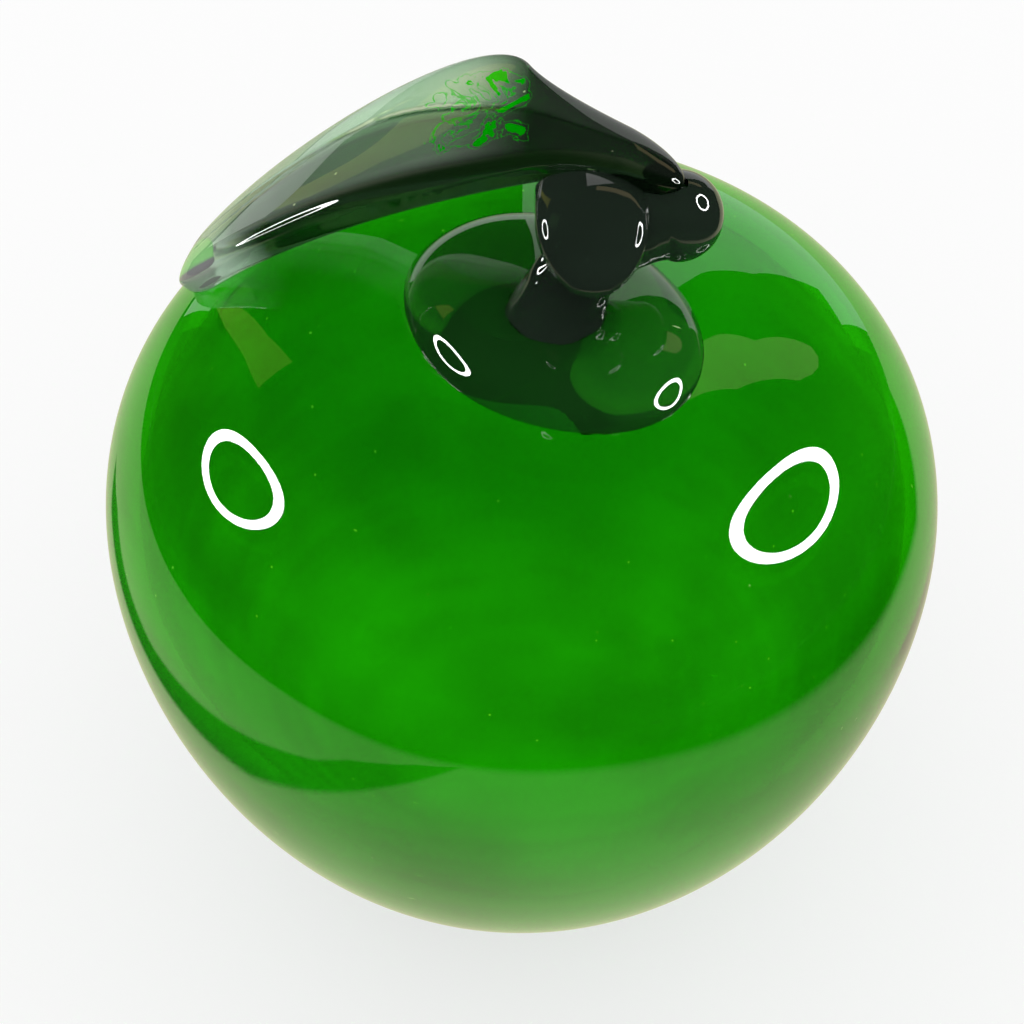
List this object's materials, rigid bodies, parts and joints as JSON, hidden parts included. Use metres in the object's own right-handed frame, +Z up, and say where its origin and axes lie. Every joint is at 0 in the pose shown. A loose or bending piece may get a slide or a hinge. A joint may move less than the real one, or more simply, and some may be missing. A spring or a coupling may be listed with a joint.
{
  "type": "art glass apple",
  "caption": "Hollow blown green glass apple with a dark glass pad, a bent glass stem and a draped glass leaf; stands on a ground foot as an ornament or paperweight.",
  "frame": {"origin": "centre of the foot, on the surface that the apple stands on", "axes": "+Z up along the body's axis of revolution, -X towards the leaf's tip, +X towards the bent end of the stem"},
  "size_m": [0.12, 0.12, 0.1255],
  "materials": {
    "green_glass": "polished transparent leaf-green glass",
    "dark_glass": "fire-polished smoky forest-green glass, nearly black where thick"
  },
  "bodies": {
    "root": {"blown_body": "green_glass", "stem_pad": "dark_glass", "stem": "dark_glass", "leaf_blade": "dark_glass", "leaf_lobe": "dark_glass"}
  },
  "joints": []
}
